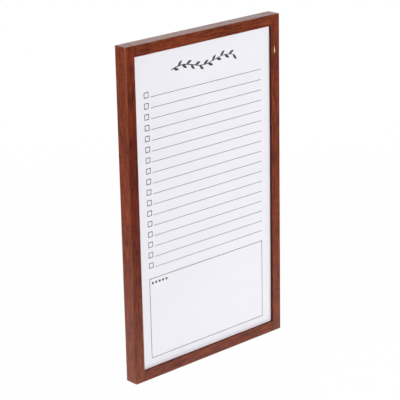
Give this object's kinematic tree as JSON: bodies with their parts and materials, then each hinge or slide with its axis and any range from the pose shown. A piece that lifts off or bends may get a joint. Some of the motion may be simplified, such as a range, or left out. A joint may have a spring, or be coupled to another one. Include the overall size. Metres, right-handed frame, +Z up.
{
  "type": "magnetic whiteboard",
  "caption": "Wall-hung magnetic dry-erase board with a ruled task list, a notes box and a stained wood frame.",
  "frame": {"origin": "middle of the flat back of the sawtooth hanger, where the board bears on the wall", "axes": "+Z up along the board's height, +X to the right seen from the front, +Y out of the board's back into the wall"},
  "size_m": [0.36, 0.03, 0.61],
  "materials": {
    "stained_wood": "reddish-brown stained hardwood, satin lacquer",
    "enamelled_steel": "smooth white enamel, semi-gloss",
    "hardboard": "raw brown hardboard, matt",
    "plated_steel": "bright zinc plate",
    "rubber": "dark grey, matt",
    "ink": "dark grey screen ink under the coating"
  },
  "bodies": {
    "root": {"left_stile": "stained_wood", "right_stile": "stained_wood", "top_rail": "stained_wood", "bottom_rail": "stained_wood", "writing_sheet": "enamelled_steel", "backing_board": "hardboard", "corner_nail_bottom_left": "plated_steel", "corner_nail_bottom_right": "plated_steel", "corner_nail_top_left": "plated_steel", "corner_nail_top_right": "plated_steel", "glazing_point_left_upper": "plated_steel", "glazing_point_left_lower": "plated_steel", "glazing_point_right_upper": "plated_steel", "glazing_point_right_lower": "plated_steel", "glazing_point_top": "plated_steel", "glazing_point_bottom": "plated_steel", "sawtooth_hanger": "plated_steel", "hanger_nail_left": "plated_steel", "hanger_nail_right": "plated_steel", "bumper_left": "rubber", "bumper_right": "rubber", "sprig": "ink", "notes_border": "ink", "ruled_line_01": "ink", "ruled_line_02": "ink", "ruled_line_03": "ink", "ruled_line_04": "ink", "ruled_line_05": "ink", "ruled_line_06": "ink", "ruled_line_07": "ink", "ruled_line_08": "ink", "ruled_line_09": "ink", "ruled_line_10": "ink", "ruled_line_11": "ink", "ruled_line_12": "ink", "ruled_line_13": "ink", "ruled_line_14": "ink", "ruled_line_15": "ink", "ruled_line_16": "ink", "ruled_line_17": "ink", "check_box_01": "ink", "check_box_02": "ink", "check_box_03": "ink", "check_box_04": "ink", "check_box_05": "ink", "check_box_06": "ink", "check_box_07": "ink", "check_box_08": "ink", "check_box_09": "ink", "check_box_10": "ink", "check_box_11": "ink", "check_box_12": "ink", "check_box_13": "ink", "check_box_14": "ink", "check_box_15": "ink", "check_box_16": "ink", "check_box_17": "ink"}
  },
  "joints": []
}
